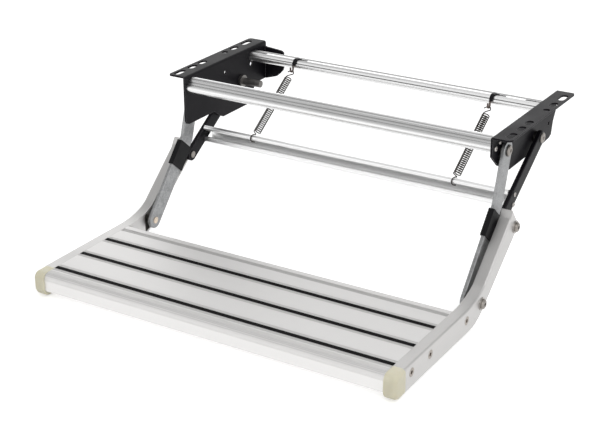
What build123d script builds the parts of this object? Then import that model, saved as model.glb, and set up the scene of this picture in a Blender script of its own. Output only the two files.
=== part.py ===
from build123d import *
import math
import os

# Folding caravan entry step, standing open.
# Sizes are in millimetres. X runs along the tread, Y runs back under the floor, Z is up.
# Z = 0 is the top of the two flanges that are screwed up against the floor.
# Y = 0 is the line through the two round locating holes. Profile points are (Y, Z).

os.makedirs("parts", exist_ok=True)

# Tread
tread_half = 275.0
tread_top = -203.3
tread_thick = 28.1
tread_bottom = tread_top - tread_thick
tread_front = -477.9
tread_depth = 195.4
tread_rear = tread_front + tread_depth
nose_r = 9.5
skin = 2.4
strip_y = (tread_front + 27.5, tread_front + 84.2, tread_front + 141.4)
strip_w = 7.4
strip_deep = 2.0
strip_fit = 0.1
groove_w = 0.8
groove_deep = 0.5
shelf_depth = 16.5
shelf_drop = 9.7
shelf_rear = tread_rear + shelf_depth
shelf_top = tread_top - shelf_drop
screw_y = (tread_front + 42.1, tread_front + 94.7, tread_rear + 9.5)
screw_z = (-216.5, -216.0, -217.3)
port_r = 4.2
port_bore = 2.6

# Layers from the tread's end outwards and inwards, as distances from the middle plane
arm_w = 17.5
arm_wall = 3.0
cap_over = 1.0
link_gap = 3.0
rear_link_t = 7.0
front_link_t = 5.5
inner_washer = 3.6
side_gap = 0.1
metal = 3.0
arm_in = tread_half
arm_out = arm_in + arm_w
arm_web_in = arm_out - arm_wall
cap_out = arm_out + cap_over
rear_link_out = arm_in - link_gap
link_in = rear_link_out - rear_link_t
front_link_out = link_in + front_link_t
plate_out = link_in - side_gap - inner_washer
plate_in = plate_out - metal

# Pivots
front_pivot = (-109.3, -28.9)
rear_pivot = (13.1, -48.8)
upper_pivot = (-121.0, -136.3)
lower_pivot = (-226.0, -212.0)
elbow = (-133.0, -105.5)
pin_r = 4.5
running = 0.05

# Linkage
rear_link_w = 20.9
front_link_w = 28.0
front_link_tip_w = 26.0
sleeve_len = 41.0
sleeve_wall = 1.4
sleeve_start = 9.0

# Flanges: width, ends, and the holes as (Y, width, length along Y)
left_flange_w = 32.4
right_flange_w = 30.8
left_front = -142.0
left_rear = 89.6
right_front = -145.8
right_rear = 91.6
slot_line = plate_in + 22.5
hole_d = 10.8
slots = ((-125.5, 10.6, 25.0), (-91.6, 10.6, 20.0), (-64.3, 10.6, 20.0), (27.1, 10.6, 20.0), (63.3, 10.6, 27.0))
bend_r = 3.6
crease_r = 0.8

# Lower crossbar: its two beads
lip = (-85.0, -102.0)
lip_r = 3.8
low_bead = (-82.4, -123.2)
low_bead_r = 4.4

# Springs
spring_in = 83.0
left_hook_in = 85.9
right_hook_in = 82.1
spring_x = (-plate_in + spring_in, plate_in - spring_in)
hook_x = (-plate_in + left_hook_in, plate_in - right_hook_in)
spring_top = (27.0, -34.6)
spring_end = (-69.5, -98.8)
coil_r = 5.5
wire_r = 0.85
coil_pitch = 4.0
coil_steps = 8


def turned(centre, outline, mode=Mode.ADD):
    """A round piece lying along X, from half of its outline as (X, radius) points."""
    with BuildSketch(Plane(origin=(0, *centre), x_dir=(1, 0, 0), z_dir=(0, -1, 0))) as half:
        with BuildLine():
            Polyline(*outline, close=True)
        make_face()
    revolve(half.sketch, axis=Axis((0, *centre), (1, 0, 0)), mode=mode)


def stud(centre, radius, start, length, mode=Mode.ADD):
    """A round bar lying along X."""
    turned(centre, [(start, 0), (start, radius), (start + length, radius), (start + length, 0)], mode)


def ring(centre, outer, inner, start, length):
    """A washer, collar or tube lying along X."""
    end = start + length
    turned(centre, [(start, inner), (start, outer), (end, outer), (end, inner)])


def button(centre, radius, start, height, socket, side=1):
    """A domed screw head with a hexagon socket, pointing outwards along X."""
    dome = [(0, 0), (0, 1), (0.35, 1), (0.66, 0.93), (0.88, 0.8), (1, 0.62), (1, 0)]
    turned(centre, [(start + side * height * along, radius * out) for along, out in dome])
    with BuildSketch(Plane(origin=(start + side * height, *centre), x_dir=(0, 1, 0), z_dir=(1, 0, 0))) as key:
        RegularPolygon(socket, 6, major_radius=False)
    extrude(key.sketch, amount=-side * height * 0.65, mode=Mode.SUBTRACT)


# Side brackets: one folded sheet each. The two are not mirror images of each other.
left_plate = [
    (left_front - 2.6, 0), (left_front - 2.6, -72), (-141.5, -77), (-136, -79), (-66.8, -79), (-50, -90.8),
    (-42, -95), (31, -95), (56.9, -64.2), (left_rear, -64.2), (left_rear, 0),
]
right_plate = [
    (right_front + 1.2, 0), (right_front + 1.2, -29.7), (-121.4, -50), (-82.2, -69), (-78, -70), (50, -70),
    (69.7, -68.5), (77, -65), (81.5, -45.7), (right_rear, -28.4), (right_rear, 0),
]
lobe_end = -plate_out + 39.3
lobe = [
    (-plate_out, -8.0), (-plate_out + 6, -9.8), (-plate_out + 17, -10.6), (lobe_end - 4, -12.4), (lobe_end, -15.4),
    (lobe_end, -41.7), (lobe_end - 2, -46.5), (lobe_end - 7, -52), (lobe_end - 14, -58), (lobe_end - 34, -64.2),
    (-plate_out, -64.2),
]


def flange(side, width, front, rear):
    """The top flange of a bracket with its row of holes, from the bracket's folding line outwards."""
    with BuildSketch() as outline:
        with Locations((side * (plate_in + width / 2), (front + rear) / 2)):
            Rectangle(width, rear - front)
        for middle, across_hole, length in slots:
            with Locations((side * slot_line, middle)):
                SlotOverall(length, across_hole, rotation=90, mode=Mode.SUBTRACT)
        with Locations((side * slot_line, 0)):
            Circle(hole_d / 2, mode=Mode.SUBTRACT)
    extrude(outline.sketch, amount=-metal)


def edges_along(body, axis, x, z=None):
    """The straight edges of a bracket along an axis, at a place across it."""
    near = body.edges().filter_by(axis).filter_by_position(Axis.X, x - 0.01, x + 0.01)
    return near if z is None else near.filter_by_position(Axis.Z, z - 0.01, z + 0.01)


with BuildPart() as left_bracket:
    with BuildSketch(Plane.YZ.offset(-plate_out)):
        with BuildLine():
            Polyline(*left_plate, close=True)
        make_face()
        with Locations((-32.6, -22.0)):
            Circle(3.2, mode=Mode.SUBTRACT)
        with Locations((43.6, -28.1)):
            Circle(4.0, mode=Mode.SUBTRACT)
        with Locations(front_pivot, rear_pivot):
            Circle(pin_r, mode=Mode.SUBTRACT)
    extrude(amount=metal)
    with BuildSketch(Plane.XZ.offset(-left_rear)):
        with BuildLine():
            Polyline(*lobe, close=True)
        make_face()
    extrude(amount=metal)
    flange(-1, left_flange_w, left_front, left_rear)
    left_edge = -plate_in - left_flange_w
    fillet(edges_along(left_bracket, Axis.Z, left_edge).sort_by(Axis.Y)[0], radius=4.0)
    fillet(edges_along(left_bracket, Axis.Z, left_edge).sort_by(Axis.Y)[-1], radius=6.0)
    fillet(edges_along(left_bracket, Axis.Y, -plate_in, 0), radius=bend_r)
    fillet(edges_along(left_bracket, Axis.Y, -plate_out, -metal), radius=crease_r)

with BuildPart() as right_bracket:
    with BuildSketch(Plane.YZ.offset(plate_in)):
        with BuildLine():
            Polyline(*right_plate, close=True)
        make_face()
        with Locations((64.1, -44.0)):
            Circle(3.25, mode=Mode.SUBTRACT)
        with Locations(front_pivot, rear_pivot):
            Circle(pin_r, mode=Mode.SUBTRACT)
    extrude(amount=metal)
    flange(1, right_flange_w, right_front, right_rear)
    right_edge = plate_in + right_flange_w
    fillet(edges_along(right_bracket, Axis.Z, right_edge).sort_by(Axis.Y)[0], radius=8.0)
    fillet(edges_along(right_bracket, Axis.Z, right_edge).sort_by(Axis.Y)[-1], radius=4.0)
    fillet(edges_along(right_bracket, Axis.Y, plate_in, 0), radius=bend_r)
    fillet(edges_along(right_bracket, Axis.Y, plate_out, -metal), radius=crease_r)

# Front crossbar: hollow bar with a sloping front face over a round bead, and a sloping back.
front_ports = ((-133.6, -20.4), (-119.4, -15.6))
port_wall = 1.8
with BuildPart() as front_crossbar:
    with BuildSketch(Plane.YZ.offset(-plate_in)):
        with BuildLine():
            Polyline(
                (-136.0, -13.0), (-131.2, -7.6), (-125.8, -4.6), (-123.0, -4.6), (-115.0, -10.2), (-113.4, -13.0),
                (-113.4, -20.0), (-117.0, -26.6), (-135.0, -26.6),
            )
            ThreePointArc((-135.0, -26.6), (-141.2, -20.6), (-137.6, -13.4))
            Line((-137.6, -13.4), (-136.0, -13.0))
        make_face()
        with BuildLine():
            Polyline(
                (-133.6, -13.6), (-130.0, -9.6), (-125.2, -6.6), (-123.8, -6.6), (-116.4, -11.6), (-115.4, -13.6),
                (-115.4, -20.2), (-118.2, -24.6), (-134.0, -24.6),
            )
            ThreePointArc((-134.0, -24.6), (-139.0, -20.4), (-136.2, -15.4))
            Line((-136.2, -15.4), (-133.6, -13.6))
        make_face(mode=Mode.SUBTRACT)
        with Locations(*front_ports):
            Circle(2 * port_wall)
        with Locations((front_ports[0][0], front_ports[0][1] - 4.0), (front_ports[1][0] + 3.0, front_ports[1][1])):
            Rectangle(3.0, 3.0)
        with Locations(*front_ports):
            Circle(port_wall, mode=Mode.SUBTRACT)
        with Locations(Location((-137.0, -13.2), 30)):
            Rectangle(1.4, 1.6, mode=Mode.SUBTRACT)
        with Locations(Location((-133.4, -10.1), 48), Location((-128.6, -6.1), 29)):
            Rectangle(1.1, 2 * groove_deep, mode=Mode.SUBTRACT)
    extrude(amount=2 * plate_in)

# Rear crossbar: flat top over a bead, open slots at its ends and by the spring hooks.
bar_top = -7.5
bar_low = -21.8
bar_wall = 1.8
bar_front = 37.8
bar_rear = 57.0
rear_port = (51.0, -15.0)
slot_y = 47.0
slot_w = 4.6
end_slot = 29.3
hook_slot_len = 13.0
hook_slot_start = 8.4
with BuildPart() as rear_crossbar:
    with BuildSketch(Plane.YZ.offset(-plate_in)):
        with BuildLine():
            Polyline(
                (bar_front + 1.6, -12.4), (bar_front + 2.8, -9.2), (bar_front + 6.2, bar_top), (bar_rear, bar_top),
                (bar_rear, bar_low), (bar_front + 3.6, bar_low),
            )
            ThreePointArc((bar_front + 3.6, bar_low), (bar_front, -17.2), (bar_front + 0.6, -12.9))
            Line((bar_front + 0.6, -12.9), (bar_front + 1.6, -12.4))
        make_face()
        with BuildLine():
            Polyline(
                (bar_front + 3.8, -13.2), (bar_front + 4.6, -10.6), (bar_front + 6.8, bar_top - bar_wall),
                (bar_rear - bar_wall, bar_top - bar_wall), (bar_rear - bar_wall, bar_low + bar_wall),
                (bar_front + 4.4, bar_low + bar_wall),
            )
            ThreePointArc(
                (bar_front + 4.4, bar_low + bar_wall), (bar_front + 2.0, -17.2), (bar_front + 2.6, -14.2),
            )
            Line((bar_front + 2.6, -14.2), (bar_front + 3.8, -13.2))
        make_face(mode=Mode.SUBTRACT)
        with Locations(rear_port):
            Circle(2 * port_wall)
        with BuildLine():
            Polyline(
                (rear_port[0], rear_port[1] + 2 * port_wall), (rear_port[0], rear_port[1] - 2 * port_wall),
                (bar_rear - 1.0, rear_port[1] - 2 * port_wall), (bar_rear - 1.0, rear_port[1] + 2 * port_wall),
                close=True,
            )
        make_face()
        with Locations(rear_port):
            Circle(port_wall, mode=Mode.SUBTRACT)
        with Locations((51.8, bar_top), (54.6, bar_top)):
            Rectangle(1.1, 2 * groove_deep, mode=Mode.SUBTRACT)
        with Locations(Location((bar_front + 1.3, -12.6), 20)):
            Rectangle(1.2, 1.4, mode=Mode.SUBTRACT)
    extrude(amount=2 * plate_in)
    with BuildSketch(Plane.XY.offset(bar_top)):
        for side in (-1, 1):
            with Locations((side * (plate_in - end_slot / 2), slot_y)):
                Rectangle(end_slot, slot_w)
        for middle in hook_x:
            with Locations((middle + hook_slot_start + hook_slot_len / 2, slot_y)):
                Rectangle(hook_slot_len, slot_w)
    extrude(amount=-bar_wall - 0.2, mode=Mode.SUBTRACT)

# Screws through the brackets into the ends of both bars
with BuildPart() as crossbar_screws:
    for side in (-1, 1):
        for centre, radius in ((front_ports[0], 4.0), (front_ports[1], 3.2), (rear_port, 4.0)):
            button(centre, radius, side * plate_out, 2.0, 1.5, side)

# Spring hooks: a cut sheet laid over the rear crossbar, with a tab in its slot and a narrow open hook.
strap_t = 1.6
shank_w = 2.6
hook_front = bar_front - 0.3 - strap_t
cup_r = 4.0
cup = (hook_front + strap_t / 2 - cup_r, -21.5)
hooks = []
tab_w = 2.6
tab_y = slot_y - 0.4
for middle in hook_x:
    left = middle - shank_w / 2
    tab_x = middle + hook_slot_start + 0.3 + strap_t / 2
    with BuildPart() as hook:
        with BuildSketch(Plane.XY.offset(bar_top)):
            with BuildLine():
                Polyline(
                    (left, bar_front + 5.4), (left, 47.4), (left + 2.0, 51.4), (left + 4.0, 51.2),
                    (left + 7.6, tab_y + tab_w / 2), (tab_x + strap_t / 2, tab_y + tab_w / 2),
                    (tab_x + strap_t / 2, tab_y - tab_w / 2), (left + 8.4, tab_y - tab_w / 2),
                    (left + 7.2, bar_front + 5.4), close=True,
                )
            make_face()
        extrude(amount=strap_t)
        with BuildSketch(Plane.XY.offset(bar_top + strap_t)):
            with Locations((tab_x, tab_y)):
                Rectangle(strap_t, tab_w)
        extrude(amount=-strap_t - 5.0)
        with BuildSketch(Plane.YZ.offset(left)):
            with BuildLine():
                Polyline(
                    (bar_front + 5.6, bar_top + 0.2), (bar_front + 5.6, bar_top + strap_t),
                    (bar_front + 4.6, bar_top + strap_t), (bar_front + 1.0, bar_top - 0.6),
                    (hook_front, -12.2), (hook_front, -15.4), (hook_front + strap_t, -15.4),
                    (hook_front + strap_t, -12.6), (bar_front + 2.2, -8.7), close=True,
                )
            make_face()
        extrude(amount=5.6)
        with BuildSketch(Plane.YZ.offset(left)):
            with Locations((hook_front + strap_t / 2, (cup[1] - 13.0) / 2)):
                Rectangle(strap_t, -13.0 - cup[1])
            with Locations(cup):
                Circle(cup_r + strap_t / 2)
                Circle(cup_r - strap_t / 2, mode=Mode.SUBTRACT)
            with Locations((cup[0], cup[1] + cup_r)):
                Rectangle(2 * (cup_r - strap_t / 2), 2 * cup_r, mode=Mode.SUBTRACT)
            with Locations((cup[0] - cup_r, cup[1] + cup_r)):
                Rectangle(strap_t + 0.2, 2 * cup_r, mode=Mode.SUBTRACT)
            with Locations((cup[0] - cup_r, cup[1] + 2.2)):
                Rectangle(strap_t, 4.6)
        extrude(amount=shank_w)
    hooks.append(hook)
left_spring_hook, right_spring_hook = hooks

# Springs: an open coil, with a half loop in the hook above and a half loop over the lower bar's lip.
hook_gap = 0.35
loop_r = 6.5
loop_turn = math.radians(38)
coil_start = Vector(0, *spring_top)
coil_axis = (Vector(0, *spring_end) - coil_start).normalized()
coil_across = coil_axis.cross(Vector(1, 0, 0))
coil_turns = int((Vector(0, *spring_end) - coil_start).length / coil_pitch)
springs = []
for x, seat_x in zip(spring_x, hook_x):
    seat = Vector(seat_x, cup[0], cup[1] - cup_r + strap_t / 2 + hook_gap + wire_r)
    wire_points = [
        seat + Vector(*step) for step in (
            (-6.4, -2.4, -2.6), (-2.8, -0.6, -0.2), (0, 0, 0), (2.6, 0, -0.2), (4.0, -0.3, -3.2), (2.6, -0.8, -5.4),
            (-1.0, -1.4, -6.4),
        )
    ]
    wire_points.append(Vector(x - 4.4, 0, 0) + coil_start + Vector(0, 1.6, 2.6))
    for step in range(coil_turns * coil_steps + 1):
        angle = math.pi + 2 * math.pi * step / coil_steps
        spoke = Vector(1, 0, 0) * math.cos(angle) + coil_across * math.sin(angle)
        centre = Vector(x, 0, 0) + coil_start + coil_axis * (coil_pitch * step / coil_steps)
        wire_points.append(centre + spoke * coil_r)
    loop_centre = Vector(x + 5.0, lip[0], lip[1] - 0.3)
    loop_side = Vector(-math.sin(loop_turn), -math.cos(loop_turn), 0)
    for turn in (-35, 0, 30, 60, 90, 120, 150, 180, 190):
        angle = math.radians(turn)
        wire_points.append(loop_centre + (Vector(0, 0, 1) * math.cos(angle) + loop_side * math.sin(angle)) * loop_r)
    with BuildPart() as spring:
        with BuildLine() as wire:
            Polyline(*wire_points)
        path = wire.wires()[0]
        with BuildSketch(Plane(origin=path @ 0, z_dir=path % 0)):
            RegularPolygon(wire_r, 6)
        sweep(path=path, transition=Transition.RIGHT)
    springs.append(spring)
left_spring, right_spring = springs

# Front and rear pivots, fixed to the brackets: a stud with a low head outside and a riveted tail inside.
head_t = 2.6
with BuildPart() as front_pivot_studs:
    for side in (-1, 1):
        stud(front_pivot, pin_r, side * (plate_in - 2.0), side * (front_link_out + 3.8 - plate_in))
        stud(front_pivot, 6.0, side * plate_in, -side * 2.0)
        button(front_pivot, 7.8, side * (front_link_out + 1.2), head_t, 2.4, side)

with BuildPart() as front_pivot_washers:
    for side in (-1, 1):
        ring(front_pivot, 8.8, pin_r, side * (front_link_out + side_gap), side * (1.1 - side_gap))
        ring(front_pivot, 8.8, pin_r, side * plate_out, side * (link_in - side_gap - plate_out))

rear_head = 1.9
with BuildPart() as rear_pivot_studs:
    for side in (-1, 1):
        stud(rear_pivot, pin_r, side * (plate_in - 2.0), side * (rear_link_out + 3.2 - plate_in))
        button(rear_pivot, 7.8, side * (rear_link_out + 0.8), rear_head, 2.4, side)
    stud(rear_pivot, 6.0, plate_in, -2.0)

with BuildPart() as rear_pivot_washers:
    for side in (-1, 1):
        ring(rear_pivot, 8.6, pin_r, side * (rear_link_out + side_gap), side * (0.8 - side_gap))
        ring(rear_pivot, 8.6, pin_r, side * plate_out, side * (link_in - side_gap - plate_out))

# Spindle on the left rear pivot only
with BuildPart() as rear_pivot_spindle:
    stud(rear_pivot, 10.0, -plate_in, 5.0)
    stud(rear_pivot, 5.8, -plate_in + 5.0, 33.8)
    fillet(rear_pivot_spindle.edges().sort_by(Axis.X)[-1], radius=1.2)
    stud(rear_pivot, pin_r, -plate_in, 2.0, mode=Mode.SUBTRACT)

# Rear links: thick black bars
link_screws = ((-80.3, -105.7), (-83.5, -120.4))
rear_mid = ((rear_pivot[0] + upper_pivot[0]) / 2, (rear_pivot[1] + upper_pivot[1]) / 2)
rear_len = math.dist(rear_pivot, upper_pivot)
rear_angle = math.degrees(math.atan2(upper_pivot[1] - rear_pivot[1], upper_pivot[0] - rear_pivot[0]))
with BuildPart() as right_rear_link:
    with BuildSketch(Plane.YZ.offset(link_in)):
        with Locations(rear_mid):
            SlotCenterToCenter(rear_len, rear_link_w, rotation=rear_angle)
        with Locations(rear_pivot, upper_pivot):
            Circle(pin_r + running, mode=Mode.SUBTRACT)
        with Locations(*link_screws):
            Circle(2.0, mode=Mode.SUBTRACT)
    extrude(amount=rear_link_out - link_in)
    chamfer(right_rear_link.faces().sort_by(Axis.X)[-1].outer_wire().edges(), length=0.8)
    chamfer(right_rear_link.faces().sort_by(Axis.X)[0].outer_wire().edges(), length=0.8)

with BuildPart() as left_rear_link:
    mirror(right_rear_link.part, about=Plane.YZ)

# Lower crossbar between the rear links: a bead along the top as the springs' lip, a web bowed back, a lower bead
web_back = -64.6
web_t = 2.0
link_port_r = 1.5
with BuildPart() as lower_crossbar:
    with BuildSketch(Plane.YZ.offset(-link_in)):
        with Locations(lip):
            Circle(lip_r)
        with Locations(low_bead):
            Circle(low_bead_r)
        with BuildLine():
            Line((lip[0] + 2.0, lip[1] - 1.4), (-72.0, -106.2))
            ThreePointArc((-72.0, -106.2), (web_back, -114.4), (-67.0, low_bead[1] - 5.8))
            Polyline(
                (-67.0, low_bead[1] - 5.8), (low_bead[0] + 1.0, low_bead[1] - low_bead_r),
                (low_bead[0] + 3.0, low_bead[1] - low_bead_r + web_t + 0.6), (-69.0, low_bead[1] - 3.8),
            )
            ThreePointArc((-69.0, low_bead[1] - 3.8), (web_back - web_t, -115.2), (-72.6, -108.2))
            Polyline((-72.6, -108.2), (lip[0] + 1.0, lip[1] - 3.4), (lip[0] + 2.0, lip[1] - 1.4))
        make_face()
        with Locations(*link_screws):
            Circle(2 * link_port_r)
        with Locations(*link_screws):
            Circle(link_port_r, mode=Mode.SUBTRACT)
    extrude(amount=2 * link_in)

with BuildPart() as lower_crossbar_screws:
    for side in (-1, 1):
        for centre in link_screws:
            button(centre, 3.4, side * rear_link_out, 1.8, 1.4, side)

# Front links: bent steel straps
lower_len = math.dist(elbow, lower_pivot)
along = ((lower_pivot[0] - elbow[0]) / lower_len, (lower_pivot[1] - elbow[1]) / lower_len)
across = (along[1], -along[0])
with BuildPart() as right_front_link:
    with BuildSketch(Plane.YZ.offset(link_in)):
        with Locations(((front_pivot[0] + elbow[0]) / 2, (front_pivot[1] + elbow[1]) / 2)):
            SlotCenterToCenter(
                math.dist(front_pivot, elbow), front_link_w,
                rotation=math.degrees(math.atan2(elbow[1] - front_pivot[1], elbow[0] - front_pivot[0])),
            )
        half_top = front_link_w / 2
        half_tip = front_link_tip_w / 2
        with BuildLine():
            Polyline(
                (elbow[0] + across[0] * half_top, elbow[1] + across[1] * half_top),
                (elbow[0] - across[0] * half_top, elbow[1] - across[1] * half_top),
                (lower_pivot[0] - across[0] * half_tip, lower_pivot[1] - across[1] * half_tip),
                (lower_pivot[0] + across[0] * half_tip, lower_pivot[1] + across[1] * half_tip),
                close=True,
            )
        make_face()
        with Locations(lower_pivot):
            Circle(half_tip)
        with Locations(front_pivot):
            Circle(pin_r + running, mode=Mode.SUBTRACT)
        with Locations(lower_pivot):
            Circle(pin_r, mode=Mode.SUBTRACT)
    extrude(amount=front_link_out - link_in)
    chamfer(right_front_link.faces().sort_by(Axis.X)[-1].outer_wire().edges(), length=0.6)
    chamfer(right_front_link.faces().sort_by(Axis.X)[0].outer_wire().edges(), length=0.6)

with BuildPart() as left_front_link:
    mirror(right_front_link.part, about=Plane.YZ)

# Buffer sleeves pushed over the front links below the elbow
sleeve_mid = sleeve_start + sleeve_len / 2
sleeve_at = (elbow[0] + along[0] * sleeve_mid, elbow[1] + along[1] * sleeve_mid)
sleeve_turn = math.degrees(math.atan2(along[1], along[0]))
sleeve_fit = 0.1
with BuildPart() as right_link_sleeve:
    with BuildSketch(Plane.YZ.offset(link_in - sleeve_fit - sleeve_wall)):
        with Locations(Location(sleeve_at, sleeve_turn)):
            Rectangle(sleeve_len, front_link_w + 2 * (sleeve_fit + sleeve_wall))
    extrude(amount=front_link_out - link_in + 2 * (sleeve_fit + sleeve_wall))
    with BuildSketch(Plane.YZ.offset(link_in - sleeve_fit)):
        with Locations(Location(sleeve_at, sleeve_turn)):
            Rectangle(sleeve_len + 2, front_link_w + 2 * sleeve_fit)
    extrude(amount=front_link_out - link_in + 2 * sleeve_fit, mode=Mode.SUBTRACT)

with BuildPart() as left_link_sleeve:
    mirror(right_link_sleeve.part, about=Plane.YZ)

# Lower pivot pins, fixed in the front links: a small inner end and a collar outside
collar_out = arm_in - 0.2
with BuildPart() as lower_pivot_pins:
    for side in (-1, 1):
        stud(lower_pivot, pin_r, side * (link_in - 1.0), side * (collar_out - link_in + 1.0))
        stud(lower_pivot, 5.25, side * link_in, -side * 1.0)
        ring(lower_pivot, 7.0, pin_r - 0.5, side * front_link_out, side * (collar_out - front_link_out))

# Tread board: one hollow extrusion with ribbed top, grip-strip grooves and a ribbed nose
with BuildPart() as tread_board:
    with BuildSketch(Plane.YZ.offset(-tread_half)):
        with BuildLine():
            Line((tread_rear, tread_top), (tread_front + nose_r, tread_top))
            ThreePointArc(
                (tread_front + nose_r, tread_top),
                (tread_front + nose_r * (1 - math.sqrt(0.5)), tread_top - nose_r * (1 - math.sqrt(0.5))),
                (tread_front, tread_top - nose_r),
            )
            Line((tread_front, tread_top - nose_r), (tread_front, tread_bottom + 2.4))
            ThreePointArc(
                (tread_front, tread_bottom + 2.4),
                (tread_front + 0.7, tread_bottom + 0.7),
                (tread_front + 2.4, tread_bottom),
            )
            Polyline(
                (tread_front + 2.4, tread_bottom), (shelf_rear, tread_bottom), (shelf_rear, shelf_top),
                (tread_rear, shelf_top), (tread_rear, tread_top),
            )
        make_face()
        cells = [
            (tread_front + 3.3, strip_y[0] + 2.4), (strip_y[0] + 2.4 + skin, strip_y[1] - 2.3),
            (strip_y[1] - 2.3 + skin, strip_y[2] - 8.5), (strip_y[2] - 8.5 + skin, tread_rear - 2.7),
        ]
        for start, end in cells:
            roof = tread_top - strip_deep - skin
            with Locations(((start + end) / 2, (roof + tread_bottom + skin) / 2)):
                Rectangle(end - start, roof - tread_bottom - skin, mode=Mode.SUBTRACT)
        with Locations(((tread_rear + 0.4 + shelf_rear - skin) / 2, (shelf_top - skin + tread_bottom + skin) / 2)):
            Rectangle(shelf_rear - tread_rear - skin - 0.4, shelf_top - tread_bottom - 2 * skin, mode=Mode.SUBTRACT)
        for y, z in zip(screw_y, screw_z):
            with Locations((y, z)):
                Circle(port_r)
        for y, z in zip(screw_y, screw_z):
            with Locations((y, (z + tread_bottom) / 2)):
                Rectangle(3.0, z - tread_bottom)
        for y, z in zip(screw_y, screw_z):
            with Locations((y, z)):
                Circle(port_bore, mode=Mode.SUBTRACT)
        for middle in strip_y:
            with Locations((middle, tread_top)):
                Rectangle(strip_w + 2 * strip_fit, strip_deep * 2, mode=Mode.SUBTRACT)
            for step in (5.4, 7.2, 9.0):
                with Locations((middle - step, tread_top), (middle + step, tread_top)):
                    Rectangle(groove_w, groove_deep * 2, mode=Mode.SUBTRACT)
        for step in range(3):
            with Locations((tread_front + 10.7 + 2.0 * step, tread_top)):
                Rectangle(groove_w, groove_deep * 2, mode=Mode.SUBTRACT)
        with Locations((tread_rear - 13.3, tread_top)):
            Rectangle(9.0, 1.6, mode=Mode.SUBTRACT)
        for step in range(4):
            with Locations((tread_rear - 16.3 + 2.0 * step, tread_top - 0.8)):
                Rectangle(groove_w, groove_deep * 2, mode=Mode.SUBTRACT)
        nose = (tread_front + nose_r, tread_top - nose_r)
        for turn in (96, 108, 120, 132, 144, 156, 168, 180):
            angle = math.radians(turn)
            with Locations(Location((nose[0] + nose_r * math.cos(angle), nose[1] + nose_r * math.sin(angle)), turn)):
                Rectangle(groove_deep * 2, groove_w, mode=Mode.SUBTRACT)
    extrude(amount=2 * tread_half)

strips = []
for middle in strip_y:
    with BuildPart() as strip:
        with BuildSketch(Plane.YZ.offset(-tread_half + 0.2)):
            with Locations((middle, tread_top - strip_deep / 2 + 0.2)):
                Rectangle(strip_w, strip_deep + 0.4)
            for step in (-1.8, 0, 1.8):
                with Locations((middle + step, tread_top + 0.4)):
                    Rectangle(0.7, 0.8, mode=Mode.SUBTRACT)
        extrude(amount=2 * (tread_half - 0.2))
    strips.append(strip)
front_grip_strip, middle_grip_strip, rear_grip_strip = strips

# Side arms: a box section, bent up behind the tread, with its inner wall cut away for the links
arm_front = tread_front + 23.4
arm_low = -238.5
bend_low = [(-214.2, -219.6), (-238.0, -233.6), (-265.0, arm_low)]
bend_low_in = [(-214.9, -216.4), (-239.0, -230.4), (-265.6, arm_low + arm_wall)]
arm_open = -240.0
with BuildPart() as right_side_arm:
    with BuildSketch(Plane.YZ.offset(arm_in)):
        with BuildLine():
            Line((arm_front, tread_top), (-282.0, tread_top))
            Spline((-282.0, tread_top), (-246.0, -199.4), (-214.0, -185.3), tangents=[(1, 0), (1, 0.88)])
            Polyline((-214.0, -185.3), (-137.4, -117.8), (-131.4, -107.6), (-113.6, -129.4))
            ThreePointArc((-113.6, -129.4), (-110.9, -138.6), (-116.6, -145.8))
            Polyline((-116.6, -145.8), (-122.0, -149.8), (-185.0, -197.3), bend_low[0])
            Spline(*bend_low, tangents=[(-1, -0.76), (-1, 0)])
            Polyline(bend_low[-1], (arm_front, arm_low), (arm_front, tread_top))
        make_face()
    extrude(amount=arm_out - arm_in)
    rim = right_side_arm.faces().sort_by(Axis.X)[-1].outer_wire().edges()
    fillet([e for e in rim if e.center().Y > arm_front + 1 and e.center().Z < -118], radius=2.6)
    with BuildSketch(Plane.YZ.offset(arm_in + arm_wall)) as hollow:
        with BuildLine():
            Line((arm_front - 1, tread_top - arm_wall), (-282.0, tread_top - arm_wall))
            Spline((-282.0, tread_top - arm_wall), (-245.2, -202.3), (-212.0, -187.6), tangents=[(1, 0), (1, 0.88)])
            Polyline(
                (-212.0, -187.6), (-135.2, -120.0), (-128.4, -108.0), (-128.0, -100.0), (-100.0, -100.0),
                (-100.0, -129.5), (-123.8, -147.4), (-186.8, -194.9), bend_low_in[0],
            )
            Spline(*bend_low_in, tangents=[(-1, -0.76), (-1, 0)])
            Polyline(
                bend_low_in[-1], (arm_front - 1, arm_low + arm_wall), (arm_front - 1, tread_top - arm_wall),
            )
        make_face()
    extrude(amount=arm_web_in - arm_in - arm_wall, mode=Mode.SUBTRACT)
    with BuildSketch(Plane.YZ.offset(arm_in)):
        add(Plane.YZ.offset(arm_in + arm_wall).to_local_coords(hollow.sketch))
        with BuildSketch(mode=Mode.INTERSECT):
            with Locations((arm_open + 100.0, -170.0)):
                RectangleRounded(200.0, 140.0, 12.0)
    extrude(amount=arm_wall, mode=Mode.SUBTRACT)
    for y, z in zip(screw_y, screw_z):
        with BuildSketch(Plane.YZ.offset(arm_in)):
            with Locations((y, z)):
                Circle(3.2)
        extrude(amount=arm_out - arm_in, mode=Mode.SUBTRACT)
        turned((y, z), [(arm_web_in, 0), (arm_web_in, 3.2), (arm_out, 6.7), (arm_out, 0)], Mode.SUBTRACT)
    for centre in (upper_pivot, lower_pivot):
        with BuildSketch(Plane.YZ.offset(arm_web_in - 1)):
            with Locations(centre):
                Circle(pin_r)
        extrude(amount=arm_wall + 2, mode=Mode.SUBTRACT)

with BuildPart() as left_side_arm:
    mirror(right_side_arm.part, about=Plane.YZ)

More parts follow.
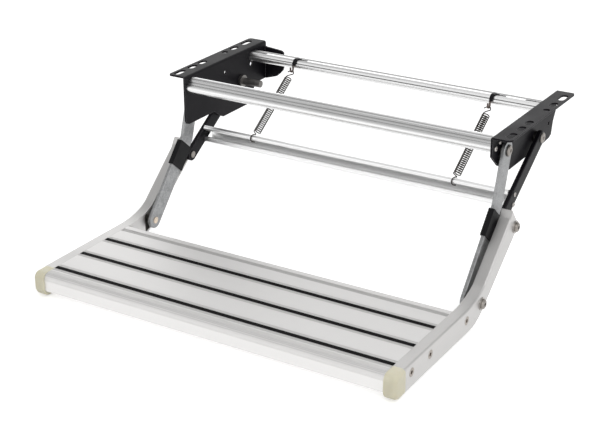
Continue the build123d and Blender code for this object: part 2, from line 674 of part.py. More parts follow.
# Screws through the arms into the tread board
shaft_in = tread_half - 18.0
head_low = arm_out - 2.9
with BuildPart() as tread_screws:
    for y, z in zip(screw_y, screw_z):
        turned((y, z), [(shaft_in, 0), (shaft_in, 2.5), (head_low, 2.5), (head_low, 3.1), (arm_out, 6.4), (arm_out, 0)])
        with BuildSketch(Plane.YZ.offset(arm_out)):
            with Locations((y, z)):
                RegularPolygon(2.6, 6, major_radius=False)
        extrude(amount=-2.2, mode=Mode.SUBTRACT)
    mirror(about=Plane.YZ)

# Upper pivots, fixed to the arms: pin, washer and the spacer between arm and rear link
head_seat = arm_out + 1.5
with BuildPart() as upper_pivot_bolts:
    for side in (-1, 1):
        stud(upper_pivot, pin_r, side * (link_in - 1.0), side * (head_seat - link_in + 1.2))
        stud(upper_pivot, 5.25, side * (link_in - side_gap), -side * (1.0 - side_gap))
        button(upper_pivot, 7.1, side * head_seat, 4.0, 2.5, side)

with BuildPart() as upper_pivot_washers:
    for side in (-1, 1):
        ring(upper_pivot, 9.0, pin_r, side * arm_out, side * 1.5)

with BuildPart() as upper_pivot_spacers:
    for side in (-1, 1):
        first = rear_link_out + side_gap
        ring(upper_pivot, 7.0, pin_r, side * first, side * (arm_web_in - first))

# Lower pivots, fixed to the arms
spacer_in = arm_in + 0.1
with BuildPart() as lower_pivot_bolts:
    for side in (-1, 1):
        stud(lower_pivot, pin_r, side * spacer_in, side * (head_seat - spacer_in + 0.2))
        button(lower_pivot, 7.1, side * head_seat, 4.0, 2.5, side)

with BuildPart() as lower_pivot_washers:
    for side in (-1, 1):
        ring(lower_pivot, 9.0, pin_r, side * arm_out, side * 1.5)

with BuildPart() as lower_pivot_spacers:
    for side in (-1, 1):
        ring(lower_pivot, 7.0, pin_r, side * spacer_in, side * (arm_web_in - spacer_in))

# End caps: rounded plugs that close the front ends of the arms
cap_front = tread_front - 3.1
cap_low = arm_low - 1.4
cap_rise = 0.4
cap_r = 10.5
cap_low_r = 13.0
cap_side_r = 6.0
cap_plug = 9.0
plug_fit = 0.2
corner = 1 - math.sqrt(0.5)
cap_top = tread_top + cap_rise
with BuildPart() as right_end_cap:
    with BuildSketch(Plane.YZ.offset(arm_in)):
        with BuildLine():
            Line((arm_front, cap_top), (cap_front + cap_r, cap_top))
            ThreePointArc(
                (cap_front + cap_r, cap_top), (cap_front + cap_r * corner, cap_top - cap_r * corner),
                (cap_front, cap_top - cap_r),
            )
            Line((cap_front, cap_top - cap_r), (cap_front, cap_low + cap_low_r))
            ThreePointArc(
                (cap_front, cap_low + cap_low_r), (cap_front + cap_low_r * corner, cap_low + cap_low_r * corner),
                (cap_front + cap_low_r, cap_low),
            )
            Polyline((cap_front + cap_low_r, cap_low), (arm_front, cap_low), (arm_front, cap_top))
        make_face()
    extrude(amount=cap_out - arm_in)
    outer_rim = right_end_cap.faces().sort_by(Axis.X)[-1].outer_wire().edges()
    fillet([e for e in outer_rim if e.center().Y < arm_front - 1], radius=cap_side_r)
    inner_rim = right_end_cap.faces().sort_by(Axis.X)[0].outer_wire().edges()
    fillet([e for e in inner_rim if e.center().Y < tread_front], radius=1.2)
    with BuildSketch(Plane.XZ.offset(-arm_front)):
        with Locations(((arm_in + arm_wall + arm_web_in) / 2, (tread_top + arm_low) / 2)):
            Rectangle(arm_w - 2 * arm_wall - 2 * plug_fit, tread_top - arm_low - 2 * arm_wall - 2 * plug_fit)
    extrude(amount=-cap_plug)
    with BuildSketch(Plane.XZ.offset(-arm_front - cap_plug)):
        with Locations(((arm_in + arm_wall + arm_web_in) / 2, (tread_top + arm_low) / 2)):
            Rectangle(arm_w - 2 * arm_wall - 4.4, tread_top - arm_low - 2 * arm_wall - 4.4)
    extrude(amount=26.0, mode=Mode.SUBTRACT)

with BuildPart() as left_end_cap:
    mirror(right_end_cap.part, about=Plane.YZ)

pieces = {
    "left_bracket": left_bracket,
    "right_bracket": right_bracket,
    "front_crossbar": front_crossbar,
    "rear_crossbar": rear_crossbar,
    "crossbar_screws": crossbar_screws,
    "left_spring_hook": left_spring_hook,
    "right_spring_hook": right_spring_hook,
    "left_spring": left_spring,
    "right_spring": right_spring,
    "front_pivot_studs": front_pivot_studs,
    "front_pivot_washers": front_pivot_washers,
    "rear_pivot_studs": rear_pivot_studs,
    "rear_pivot_washers": rear_pivot_washers,
    "rear_pivot_spindle": rear_pivot_spindle,
    "left_rear_link": left_rear_link,
    "right_rear_link": right_rear_link,
    "lower_crossbar": lower_crossbar,
    "lower_crossbar_screws": lower_crossbar_screws,
    "left_front_link": left_front_link,
    "right_front_link": right_front_link,
    "left_link_sleeve": left_link_sleeve,
    "right_link_sleeve": right_link_sleeve,
    "lower_pivot_pins": lower_pivot_pins,
    "tread_board": tread_board,
    "front_grip_strip": front_grip_strip,
    "middle_grip_strip": middle_grip_strip,
    "rear_grip_strip": rear_grip_strip,
    "left_side_arm": left_side_arm,
    "right_side_arm": right_side_arm,
    "tread_screws": tread_screws,
    "upper_pivot_bolts": upper_pivot_bolts,
    "upper_pivot_washers": upper_pivot_washers,
    "upper_pivot_spacers": upper_pivot_spacers,
    "lower_pivot_bolts": lower_pivot_bolts,
    "lower_pivot_washers": lower_pivot_washers,
    "lower_pivot_spacers": lower_pivot_spacers,
    "left_end_cap": left_end_cap,
    "right_end_cap": right_end_cap,
}
for name, piece in pieces.items():
    piece.part.label = name
    export_step(piece.part, f"parts/{name}.step")
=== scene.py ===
import math

import bmesh
import bpy
from mathutils import Matrix, Vector


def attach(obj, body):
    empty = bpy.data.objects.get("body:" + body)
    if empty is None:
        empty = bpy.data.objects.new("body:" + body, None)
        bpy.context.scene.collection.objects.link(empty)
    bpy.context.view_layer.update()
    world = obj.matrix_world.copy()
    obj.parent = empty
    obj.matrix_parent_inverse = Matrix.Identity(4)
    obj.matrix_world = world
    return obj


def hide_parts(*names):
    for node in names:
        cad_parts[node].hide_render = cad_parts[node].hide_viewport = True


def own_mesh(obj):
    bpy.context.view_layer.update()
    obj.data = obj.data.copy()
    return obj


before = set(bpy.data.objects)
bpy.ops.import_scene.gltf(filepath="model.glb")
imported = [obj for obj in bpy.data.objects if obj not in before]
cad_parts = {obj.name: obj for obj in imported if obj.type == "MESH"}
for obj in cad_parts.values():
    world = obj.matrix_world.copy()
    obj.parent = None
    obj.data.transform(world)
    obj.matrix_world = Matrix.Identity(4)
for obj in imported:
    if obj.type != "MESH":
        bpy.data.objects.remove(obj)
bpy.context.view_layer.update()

# Everything is in metres: X along the tread, Y back under the floor, Z up from the flange tops.

# A range map that turns a noise, which stays near the middle, into the full span
noise_low, noise_high = 0.3, 0.7


class Value:
    """A number or vector inside a material, with ordinary arithmetic."""

    def __init__(self, recipe, socket):
        self.recipe = recipe
        self.socket = socket

    def _math(self, operation, *terms):
        return self.recipe.make("ShaderNodeMath", {"operation": operation}, dict(enumerate(terms)))

    def __add__(self, other):
        return self._math("ADD", self, other)

    def __sub__(self, other):
        return self._math("SUBTRACT", self, other)

    def __rsub__(self, other):
        return self._math("SUBTRACT", other, self)

    def __mul__(self, other):
        return self._math("MULTIPLY", self, other)

    def __gt__(self, other):
        return self._math("GREATER_THAN", self, other)

    def __lt__(self, other):
        return self._math("LESS_THAN", self, other)


class Recipe:
    """One material: its shader, and the nodes that feed it."""

    def __init__(self, name, metallic=0.0, specular=0.5):
        self.material = bpy.data.materials.new(name)
        self.material.use_nodes = True
        self.tree = self.material.node_tree
        self.shader = self.tree.nodes["Principled BSDF"]
        self.set("Metallic", metallic)
        self.set("Specular IOR Level", specular)
        self.place = self.make("ShaderNodeTexCoord", {}, {}, "Object")
        self.rounded = None

    def make(self, kind, settings, sockets, output=0):
        """A node with its settings and inputs, as the value of one of its outputs."""
        node = self.tree.nodes.new(kind)
        for key, value in settings.items():
            setattr(node, key, value)
        for key, value in sockets.items():
            self.feed(node.inputs[key], value)
        return Value(self, node.outputs[output])

    def feed(self, socket, value):
        if isinstance(value, Value):
            self.tree.links.new(value.socket, socket)
        else:
            socket.default_value = value

    def set(self, name, value):
        self.feed(self.shader.inputs[name], value)

    def axes(self):
        """The place on the object as three values."""
        split = self.tree.nodes.new("ShaderNodeSeparateXYZ")
        self.feed(split.inputs[0], self.place)
        return [Value(self, split.outputs[i]) for i in range(3)]

    def stretched(self, x, y, z):
        return self.make("ShaderNodeMapping", {}, {"Vector": self.place, "Scale": (x, y, z)})

    def noise(self, scale, detail, rough, where=None):
        sockets = {
            "Vector": where or self.place, "Scale": scale, "Detail": detail, "Roughness": rough,
        }
        return self.make("ShaderNodeTexNoise", {}, sockets)

    def cell_colour(self, scale):
        """A colour for each cell of a fine irregular grid."""
        sockets = {"Vector": self.place, "Scale": scale}
        return self.make("ShaderNodeTexVoronoi", {"feature": "F1"}, sockets, "Color")

    def ramp(self, value, low, high, out_low=0.0, out_high=1.0):
        """The value moved from one range to another and held inside it."""
        sockets = {
            "Value": value, "From Min": low, "From Max": high, "To Min": out_low, "To Max": out_high,
        }
        return self.make("ShaderNodeMapRange", {}, sockets)

    def spread(self, noise, out_low, out_high):
        """A noise's usual values moved to a range."""
        return self.ramp(noise, noise_low, noise_high, out_low, out_high)

    def ribs(self, along, top, pitch):
        """From -1 to 1 and back in every pitch, and 1 at the place named top."""
        turn = (along - top) * (2 * math.pi / pitch) + math.pi / 2
        return self.make("ShaderNodeMath", {"operation": "SINE"}, {0: turn})

    def mix(self, share, first, second):
        node = self.tree.nodes.new("ShaderNodeMix")
        node.data_type = "RGBA"
        self.feed(node.inputs[0], share)
        self.feed(node.inputs[6], first)
        self.feed(node.inputs[7], second)
        return Value(self, node.outputs[2])

    def edge_highlight_mask(self, size):
        """A mask for painted edge highlights, high along outer edges, from the angle between the true and
        a rounded normal.
        """
        self.rounded = self.make("ShaderNodeBevel", {"samples": 6}, {"Radius": size})
        true_normal = self.make("ShaderNodeNewGeometry", {}, {}, "Normal")
        sockets = {0: self.rounded, 1: true_normal}
        return 1.0 - self.make("ShaderNodeVectorMath", {"operation": "DOT_PRODUCT"}, sockets, "Value")

    def bump(self, height, depth, strength=1.0):
        sockets = {"Height": height, "Distance": depth, "Strength": strength}
        if self.rounded is not None:
            sockets["Normal"] = self.rounded
        return self.make("ShaderNodeBump", {}, sockets)


def colour(grey, warm=0.0):
    """A linear grey, warmer for positive values of warm and cooler for negative ones."""
    return (grey * (1 + warm), grey, grey * (1 - warm), 1.0)


black = (0, 0, 0, 1)
# How far painted shade reaches around each bar groove, and how much it darkens there
groove_shade_reach = 0.0010
groove_shade_share = 0.42


def powder_coat():
    """Black powder coat: fine pebbled skin, satin sheen and a painted highlight along its edges."""
    coat = Recipe("black_powder_coat", specular=0.10)
    pebbles = coat.noise(900.0, 3.0, 0.6)
    patches = coat.noise(14.0, 3.0, 0.5)
    # Painted highlight: the coat is made lighter along its outer edges
    edge_highlight = coat.ramp(coat.edge_highlight_mask(0.0010), 0.01, 0.14)
    deep, dust_and_groove_shade = (0.0040, 0.0036, 0.0052, 1), (0.0080, 0.0072, 0.0095, 1)
    coat_highlight = (0.150, 0.142, 0.150, 1)
    coat.set("Base Color", coat.mix(edge_highlight * 0.9, coat.mix(patches, deep, dust_and_groove_shade), coat_highlight))
    coat.set("Roughness", coat.spread(patches, 0.34, 0.46) + pebbles * 0.06)
    coat.set("Normal", coat.bump(pebbles, 0.00005, 0.5))
    return coat.material


def hook_strip():
    """The spring hooks: coated on the bar, and rubbed down to brownish steel on the hook itself."""
    strip = Recipe("hook_strip", specular=0.12)
    coat_ends, coat_gone = -0.0150, -0.0156
    ragged = strip.axes()[2] + strip.noise(420.0, 3.0, 0.7) * 0.0016
    bare = strip.ramp(ragged, coat_ends, coat_gone)
    grain = strip.noise(1100.0, 3.0, 0.6)
    # Painted highlight: the coated part is made lighter along its outer edges
    edge_highlight = strip.ramp(strip.edge_highlight_mask(0.0003), 0.02, 0.25)
    coated = strip.mix(edge_highlight * 0.8, (0.009, 0.0085, 0.0105, 1), (0.085, 0.080, 0.084, 1))
    steel = strip.mix(grain, (0.115, 0.092, 0.084, 1), (0.235, 0.195, 0.180, 1))
    strip.set("Base Color", strip.mix(bare, coated, steel))
    strip.set("Metallic", bare)
    strip.set("Roughness", strip.spread(grain, 0.34, 0.46))
    strip.set("Normal", strip.bump(grain, 0.00004, 0.5))
    return strip.material


def extruded(name, grey, rough, grooves=()):
    """Anodised extrusion: die lines along X, faint clouding, painted edge highlights and painted shade in
    its grooves.
    """
    metal = Recipe(name, metallic=1.0)
    lines = metal.noise(1.0, 4.0, 0.7, metal.stretched(5.0, 1700.0, 1700.0))
    broad = metal.noise(1.0, 2.0, 0.5, metal.stretched(1.2, 160.0, 160.0))
    clouds = metal.noise(9.0, 4.0, 0.6)
    fine = metal.noise(2600.0, 2.0, 0.5)
    shade = metal.spread(lines, 0.97, 1.02) * metal.spread(broad, 0.985, 1.01)
    shade = shade * metal.spread(clouds, 0.992, 1.006)
    y, z = metal.axes()[1:]
    # Painted shade: darker within a small reach of each groove given as Y and Z
    for groove_y, groove_z in grooves:
        away_y, away_z = y - groove_y, z - groove_z
        dust_and_groove_shade = (away_y * away_y + away_z * away_z) < groove_shade_reach ** 2
        shade = shade * (1.0 - dust_and_groove_shade * groove_shade_share)
    # Painted highlight: lighter along outer edges
    edge_highlight = metal.ramp(metal.edge_highlight_mask(0.0003), 0.02, 0.3)
    metal.set("Base Color", metal.mix(shade * grey + edge_highlight * 0.08, black, colour(1.0)))
    metal.set("Roughness", metal.spread(lines, rough - 0.05, rough + 0.05) + clouds * 0.04)
    metal.set("Normal", metal.bump(lines * 0.5 + fine * 0.5, 0.000003, 0.6))
    return metal.material


# The tread's ribbed places, darkened with painted shade: on both sides of each grip strip, on the ledge
# behind and on the nose
strip_middles = (-0.4504, -0.3937, -0.3365)
beside_from, beside_to, beside_top, beside_pitch = 0.0044, 0.0100, 0.0054, 0.0018
ledge_from, ledge_to, ledge_top = -0.3003, -0.2913, -0.2988
nose_from, nose_to, nose_top = -0.4768, -0.4622, -0.4672
edge_pitch = 0.0020


def ribbed_board():
    """The tread's skin: an even satin, a little greyer with painted shade in its fine grooves, and painted
    edge highlights.
    """
    metal = Recipe("satin_tread", metallic=1.0)
    lines = metal.noise(1.0, 4.0, 0.7, metal.stretched(5.0, 1700.0, 1700.0))
    clouds = metal.noise(9.0, 4.0, 0.6)
    fine = metal.noise(2600.0, 2.0, 0.5)
    y = metal.axes()[1]
    shade = metal.spread(lines, 0.98, 1.01) * metal.spread(clouds, 0.992, 1.006)
    # Painted shade: ribbed darkening beside each grip strip, on the ledge and on the nose
    for middle in strip_middles:
        off = metal.make("ShaderNodeMath", {"operation": "ABSOLUTE"}, {0: y - middle})
        beside = (off > beside_from) * (off < beside_to)
        shade = shade * (1.0 - beside * (metal.ribs(off, beside_top, beside_pitch) * 0.12 + 0.13))
    ledge = (y > ledge_from) * (y < ledge_to)
    shade = shade * (1.0 - ledge * (metal.ribs(y, ledge_top, edge_pitch) * 0.10 + 0.24))
    nose = (y > nose_from) * (y < nose_to)
    shade = shade * (1.0 - nose * (metal.ribs(y, nose_top, edge_pitch) * 0.09 + 0.02))
    # Painted highlight: lighter along outer edges
    edge_highlight = metal.ramp(metal.edge_highlight_mask(0.0003), 0.02, 0.3)
    metal.set("Base Color", metal.mix(shade * 0.77 + edge_highlight * 0.05, black, colour(1.0, 0.01)))
    metal.set("Roughness", metal.spread(lines, 0.54, 0.60))
    metal.set("Normal", metal.bump(lines * 0.5 + fine * 0.5, 0.000004, 0.6))
    return metal.material


def bent_extrusion():
    """The arms' anodised skin: lines that run from front to back, finely blasted, with painted edge
    highlights.
    """
    metal = Recipe("satin_arm", metallic=1.0)
    lines = metal.noise(1.0, 4.0, 0.7, metal.stretched(1500.0, 6.0, 30.0))
    clouds = metal.noise(11.0, 4.0, 0.6)
    fine = metal.noise(2300.0, 2.0, 0.5)
    # Painted highlight: lighter along outer edges
    edge_highlight = metal.ramp(metal.edge_highlight_mask(0.0009), 0.02, 0.3)
    shade = metal.spread(lines, 0.97, 1.02) * metal.spread(clouds, 0.97, 1.02)
    metal.set("Base Color", metal.mix(shade * 0.57 + edge_highlight * 0.10, black, colour(1.0, 0.014)))
    metal.set("Roughness", metal.spread(clouds, 0.36, 0.46) + fine * 0.05)
    metal.set("Normal", metal.bump(fine * 0.6 + lines * 0.4, 0.00002, 0.5))
    return metal.material


def galvanised():
    """Zinc-coated strap: small spangles, dull specks and a cloudy grey."""
    zinc = Recipe("galvanised_steel", metallic=1.0)
    spangle = zinc.make("ShaderNodeSeparateColor", {}, {"Color": zinc.cell_colour(320.0)})
    specks = zinc.ramp(zinc.noise(1300.0, 3.0, 0.7), 0.52, 0.62)
    clouds = zinc.noise(60.0, 4.0, 0.6)
    shade = zinc.ramp(spangle, 0.0, 1.0, 0.86, 1.1) * zinc.spread(clouds, 0.86, 1.08)
    grey = shade * 0.36 - specks * 0.11
    zinc.set("Base Color", zinc.mix(grey, black, colour(1.0, -0.012)))
    zinc.set("Roughness", zinc.ramp(spangle, 0.0, 1.0, 0.34, 0.50) + specks * 0.15)
    zinc.set("Normal", zinc.bump(spangle * 0.3 + specks * 0.7, 0.00005, 0.7))
    return zinc.material


def plain_steel(name, grey, rough, warm, edge_highlight_amount=0.12):
    """Turned or drawn steel: fine scratches, darker handling marks and painted highlights on its edges."""
    steel = Recipe(name, metallic=1.0)
    scratches = steel.noise(700.0, 4.0, 0.7)
    marks = steel.noise(120.0, 3.0, 0.6)
    # Painted highlight: lighter along outer edges, by edge_highlight_amount
    edge_highlight = steel.ramp(steel.edge_highlight_mask(0.0004), 0.02, 0.3)
    shade = steel.spread(scratches, 0.85, 1.1) * steel.ramp(marks, 0.35, 0.7, 0.8, 1.08)
    steel.set("Base Color", steel.mix(shade * grey + edge_highlight * edge_highlight_amount, black, colour(1.0, warm)))
    steel.set("Roughness", steel.spread(marks, rough - 0.06, rough + 0.08))
    steel.set("Normal", steel.bump(scratches, 0.00003, 0.5))
    return steel.material


def moulded(name, first, second, rough, sheen, glow=0.0):
    """Moulded plastic: fine sparked skin, slight flow marks, light that sinks in if glow is set."""
    plastic = Recipe(name, specular=sheen)
    skin = plastic.noise(1100.0, 3.0, 0.6)
    flow = plastic.noise(40.0, 3.0, 0.6)
    plastic.set("Base Color", plastic.mix(plastic.spread(flow, 0.0, 1.0), first, second))
    plastic.set("Roughness", plastic.spread(skin, rough - 0.05, rough + 0.07))
    plastic.set("Normal", plastic.bump(skin * 0.7 + flow * 0.3, 0.00005, 0.6))
    if glow:
        plastic.set("Subsurface Weight", glow)
        plastic.set("Subsurface Radius", (0.006, 0.005, 0.003))
        plastic.set("Subsurface Scale", 1.0)
    return plastic.material


def grip_rubber():
    """Black ribbed strip: matt, lightly dusty in patches."""
    rubber = Recipe("grip_rubber", specular=0.12)
    grain = rubber.noise(1500.0, 3.0, 0.6)
    dust = rubber.ramp(rubber.noise(55.0, 4.0, 0.7), 0.5, 0.8)
    clean, dust_and_groove_shade = (0.006, 0.006, 0.0065, 1), (0.022, 0.021, 0.021, 1)
    rubber.set("Base Color", rubber.mix(dust * 0.35, clean, dust_and_groove_shade))
    rubber.set("Roughness", rubber.spread(grain, 0.55, 0.75))
    rubber.set("Normal", rubber.bump(grain, 0.00006, 0.7))
    return rubber.material


coat = powder_coat()
board_skin = ribbed_board()
# Where painted shade lies along the grooves of the front and the rear bar, as Y and Z
bar_grooves = (
    (-0.1370, -0.0132), (-0.1334, -0.0101), (-0.1286, -0.0061), (0.0391, -0.0126),
    (0.0504, -0.0075), (0.0518, -0.0075), (0.0532, -0.0075), (0.0546, -0.0075), (0.0560, -0.0075),
)
bar_skin = extruded("bright_bar", 0.80, 0.27, bar_grooves)
# Painted light: a lighter copy of the bright bar's finish, standing in for light on the lower bar's shaded
# web
lightened_lower_bar_skin = extruded("lower_bar", 0.93, 0.36)
arm_skin = bent_extrusion()
zinc = galvanised()
screw_steel = plain_steel("screw_steel", 0.46, 0.32, 0.05)
ring_steel = plain_steel("ring_steel", 0.36, 0.34, 0.10)
pivot_steel = plain_steel("pivot_steel", 0.30, 0.36, 0.08)
washer_steel = plain_steel("washer_steel", 0.12, 0.36, 0.05)
spring_steel = plain_steel("spring_steel", 0.040, 0.42, 0.16, edge_highlight_amount=0.0)
spindle_steel = plain_steel("spindle_steel", 0.20, 0.42, 0.04)
pin_steel = plain_steel("pin_steel", 0.62, 0.40, 0.18)
sleeve_black, sleeve_grey = (0.010, 0.010, 0.011, 1), (0.015, 0.015, 0.016, 1)
sleeve_plastic = moulded("black_sleeve", sleeve_black, sleeve_grey, 0.42, 0.08)
cap_cream, cap_pale = (0.70, 0.66, 0.50, 1), (0.75, 0.715, 0.56, 1)
cap_plastic = moulded("cream_cap", cap_cream, cap_pale, 0.42, 0.4, glow=0.2)
hook_steel = hook_strip()
rubber = grip_rubber()

finishes = {
    "left_bracket": coat,
    "right_bracket": coat,
    "front_crossbar": bar_skin,
    "rear_crossbar": bar_skin,
    "lower_crossbar": lightened_lower_bar_skin,
    "crossbar_screws": screw_steel,
    "lower_crossbar_screws": screw_steel,
    "left_spring_hook": hook_steel,
    "right_spring_hook": hook_steel,
    "front_pivot_studs": pivot_steel,
    "front_pivot_washers": washer_steel,
    "rear_pivot_studs": pivot_steel,
    "rear_pivot_washers": washer_steel,
    "rear_pivot_spindle": spindle_steel,
    "left_rear_link": coat,
    "right_rear_link": coat,
    "left_front_link": zinc,
    "right_front_link": zinc,
    "left_link_sleeve": sleeve_plastic,
    "right_link_sleeve": sleeve_plastic,
    "lower_pivot_pins": pin_steel,
    "tread_board": board_skin,
    "front_grip_strip": rubber,
    "middle_grip_strip": rubber,
    "rear_grip_strip": rubber,
    "left_side_arm": arm_skin,
    "right_side_arm": arm_skin,
    "tread_screws": ring_steel,
    "upper_pivot_bolts": pivot_steel,
    "upper_pivot_washers": screw_steel,
    "upper_pivot_spacers": screw_steel,
    "lower_pivot_bolts": pivot_steel,
    "lower_pivot_washers": screw_steel,
    "lower_pivot_spacers": screw_steel,
    "left_end_cap": cap_plastic,
    "right_end_cap": cap_plastic,
}
for name, material in finishes.items():
    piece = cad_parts[name]
    piece.data.materials.clear()
    piece.data.materials.append(material)


# Springs: round wire in an open coil, with a half loop in the hook and one over the lower bar's lip
coil_top = Vector((0, 0.0270, -0.0346))
coil_end = Vector((0, -0.0695, -0.0988))
coil_axis = (coil_end - coil_top).normalized()
coil_across = coil_axis.cross(Vector((1, 0, 0)))
coil_pitch = 0.0036
coil_r = 0.0055
wire_r = 0.00085
coil_turns = int((coil_end - coil_top).length / coil_pitch)
coil_steps = 18
loop_r = 0.0065
loop_turn = math.radians(38)
loop_offset, loop_y, loop_z = 0.005, -0.0850, -0.1023
# The wire's points at the hook, in millimetres from its seat, and the step from there to the coil
hook_steps = (
    (-6.4, -2.4, -2.6), (-2.8, -0.6, -0.2), (0, 0, 0), (2.6, 0, -0.2), (4.0, -0.3, -3.2),
    (2.6, -0.8, -5.4), (-1.0, -1.4, -6.4),
)
coil_lead = Vector((-0.0044, 0.0016, 0.0026))


def round_wire(name, points, radius):
    """A closed round wire that follows a smooth line near the points."""
    line = bpy.data.curves.new(name, "CURVE")
    line.dimensions = "3D"
    line.bevel_depth = radius
    line.bevel_resolution = 2
    line.resolution_u = 3
    line.use_fill_caps = True
    spline = line.splines.new("NURBS")
    spline.points.add(len(points) - 1)
    for place, point in zip(spline.points, points):
        place.co = (*point, 1.0)
    spline.order_u = 3
    spline.use_endpoint_u = True
    rod = bpy.data.objects.new(name, line)
    mesh = bmesh.new()
    mesh.from_mesh(bpy.data.meshes.new_from_object(rod))
    bmesh.ops.remove_doubles(mesh, verts=mesh.verts, dist=1e-6)
    bmesh.ops.recalc_face_normals(mesh, faces=mesh.faces)
    for face in mesh.faces:
        face.smooth = True
    data = bpy.data.meshes.new(name)
    mesh.to_mesh(data)
    mesh.free()
    bpy.data.objects.remove(rod)
    piece = bpy.data.objects.new(name, data)
    bpy.context.scene.collection.objects.link(piece)
    return piece


# Where the spring's wire sits in its hook, as Y and Z
spring_hook_seat = (0, 0.0327, -0.0235)


def spring_line(x, hook_x):
    """The spring's wire from its upper end, through the hook and down the coil, to its lower loop."""
    seat = Vector((hook_x, *spring_hook_seat[1:]))
    line = [seat + Vector(step) / 1000 for step in hook_steps]
    start = Vector((x, 0, 0)) + coil_top
    line.append(start + coil_lead)
    for step in range(coil_turns * coil_steps + 1):
        angle = math.pi + 2 * math.pi * step / coil_steps
        spoke = Vector((1, 0, 0)) * math.cos(angle) + coil_across * math.sin(angle)
        line.append(start + coil_axis * (coil_pitch * step / coil_steps) + spoke * coil_r)
    loop_centre = Vector((x + loop_offset, loop_y, loop_z))
    loop_side = Vector((-math.sin(loop_turn), -math.cos(loop_turn), 0))
    for turn in (-35, 0, 30, 60, 90, 120, 150, 180, 190):
        angle = math.radians(turn)
        spoke = Vector((0, 0, 1)) * math.cos(angle) + loop_side * math.sin(angle)
        line.append(loop_centre + spoke * loop_r)
    return line


for side, x, hook_x in (("left", -0.1753, -0.1724), ("right", 0.1753, 0.1762)):
    wire = round_wire(f"{side}_spring_wire", spring_line(x, hook_x), wire_r)
    wire.data.materials.append(spring_steel)
    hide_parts(f"{side}_spring")
    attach(wire, "springs")
    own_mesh(wire)


# Pale studio: bright around the horizon and greyer overhead, for the camera and in the metal's reflections
world = bpy.data.worlds.new("studio")
bpy.context.scene.world = world
world.use_nodes = True
tree = world.node_tree
tree.nodes.clear()


def seen_directly(tree):
    """1 for rays from the camera, off a shiny surface or through a clear one."""
    path = tree.nodes.new("ShaderNodeLightPath")
    total = path.outputs["Is Camera Ray"]
    for name in ("Is Glossy Ray", "Is Transmission Ray"):
        either = tree.nodes.new("ShaderNodeMath")
        either.operation = "MAXIMUM"
        tree.links.new(total, either.inputs[0])
        tree.links.new(path.outputs[name], either.inputs[1])
        total = either.outputs[0]
    return total


def sky(stops):
    """A background whose grey follows the direction's height: stops of (0 down to 1 up, grey)."""
    place = tree.nodes.new("ShaderNodeTexCoord")
    split = tree.nodes.new("ShaderNodeSeparateXYZ")
    height = tree.nodes.new("ShaderNodeMapRange")
    height.inputs["From Min"].default_value = -1.0
    shade = tree.nodes.new("ShaderNodeValToRGB")
    first, last = shade.color_ramp.elements
    (first.position, grey), (last.position, last_grey) = stops[0], stops[-1]
    first.color = (grey, grey, grey, 1)
    last.color = (last_grey, last_grey, last_grey, 1)
    for at, grey in stops[1:-1]:
        shade.color_ramp.elements.new(at).color = (grey, grey, grey, 1)
    background = tree.nodes.new("ShaderNodeBackground")
    tree.links.new(place.outputs["Generated"], split.inputs[0])
    tree.links.new(split.outputs["Z"], height.inputs["Value"])
    tree.links.new(height.outputs[0], shade.inputs[0])
    tree.links.new(shade.outputs[0], background.inputs["Color"])
    return background.outputs[0]


out = tree.nodes.new("ShaderNodeOutputWorld")
pick = tree.nodes.new("ShaderNodeMixShader")
tree.links.new(seen_directly(tree), pick.inputs[0])
lighting_sky = ((0.0, 0.42), (0.5, 0.40), (0.72, 0.58), (1.0, 0.62))
shown_sky = ((0.0, 1.0), (0.5, 0.96), (0.74, 0.88), (0.80, 0.93), (0.87, 0.54), (1.0, 0.44))
tree.links.new(sky(lighting_sky), pick.inputs[1])
tree.links.new(sky(shown_sky), pick.inputs[2])
tree.links.new(pick.outputs[0], out.inputs["Surface"])


def panel(name, where, towards, size, watts):
    """A soft rectangular studio light."""
    light = bpy.data.lights.new(name, "AREA")
    light.shape = "RECTANGLE"
    light.size, light.size_y = size
    light.energy = watts
    lamp = bpy.data.objects.new(name, light)
    lamp.location = where
    lamp.rotation_euler = (Vector(towards) - Vector(where)).to_track_quat("-Z", "Y").to_euler()
    bpy.context.scene.collection.objects.link(lamp)


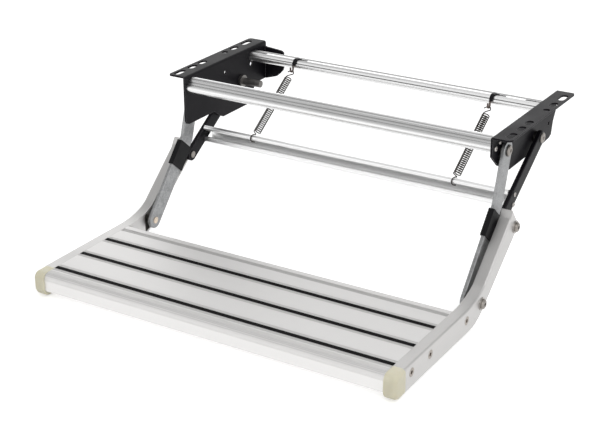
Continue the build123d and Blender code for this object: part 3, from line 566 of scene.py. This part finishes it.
centre = (0, -0.2, -0.1)
panel("key_panel", (1.5, -1.7, 1.8), centre, (1.6, 1.2), 14)
panel("top_panel", (0.2, 0.1, 2.0), centre, (2.4, 1.6), 6)
panel("right_panel", (2.2, -0.6, 0.6), centre, (1.2, 1.6), 4)
panel("back_panel", (-1.25, 1.85, 1.0), centre, (2.6, 1.1), 8)
panel("front_panel", (-1.0, -2.6, 0.3), centre, (2.6, 0.8), 4)

# Floor: plain white, with the step's own soft shadow, just under the step
floor_mesh = bpy.data.meshes.new("floor")
floor_z = -0.2420
reach = 6.0
corners = ((-reach, -reach), (reach, -reach), (reach, reach), (-reach, reach))
floor_mesh.from_pydata([(*corner, floor_z) for corner in corners], [], [(0, 1, 2, 3)])
floor = bpy.data.objects.new("floor", floor_mesh)
bpy.context.scene.collection.objects.link(floor)
floor_paint = Recipe("white_floor", specular=0.0)
floor_paint.set("Base Color", (0.80, 0.80, 0.80, 1))
floor_paint.set("Roughness", 1.0)
floor_paint.set("Emission Color", (1, 1, 1, 1))
floor_glow = 0.52
floor_paint.set(
    "Emission Strength", Value(floor_paint, seen_directly(floor_paint.tree)) * floor_glow,
)
floor_mesh.materials.append(floor_paint.material)

# Camera at the photograph's angle
azimuth, elevation, roll = (math.radians(angle) for angle in (31.418, 23.569, -0.2268))
camera_place = (0.9710, -1.8154, 0.6676)
level = math.cos(elevation)
back = Vector((math.sin(azimuth) * level, -math.cos(azimuth) * level, math.sin(elevation)))
right = Vector((math.cos(azimuth), math.sin(azimuth), 0))
up = back.cross(right)
right, up = (
    math.cos(roll) * right + math.sin(roll) * up,
    math.cos(roll) * up - math.sin(roll) * right,
)
lens = bpy.data.cameras.new("camera")
lens.lens = 83.64
lens.sensor_width = 36
lens.clip_end = 50
camera = bpy.data.objects.new("camera", lens)
camera.matrix_world = Matrix.Translation(camera_place) @ Matrix((
    (right.x, up.x, back.x, 0), (right.y, up.y, back.y, 0), (right.z, up.z, back.z, 0), (0, 0, 0, 1),
))
bpy.context.scene.collection.objects.link(camera)
bpy.context.scene.camera = camera
bpy.context.scene.view_settings.view_transform = "Standard"
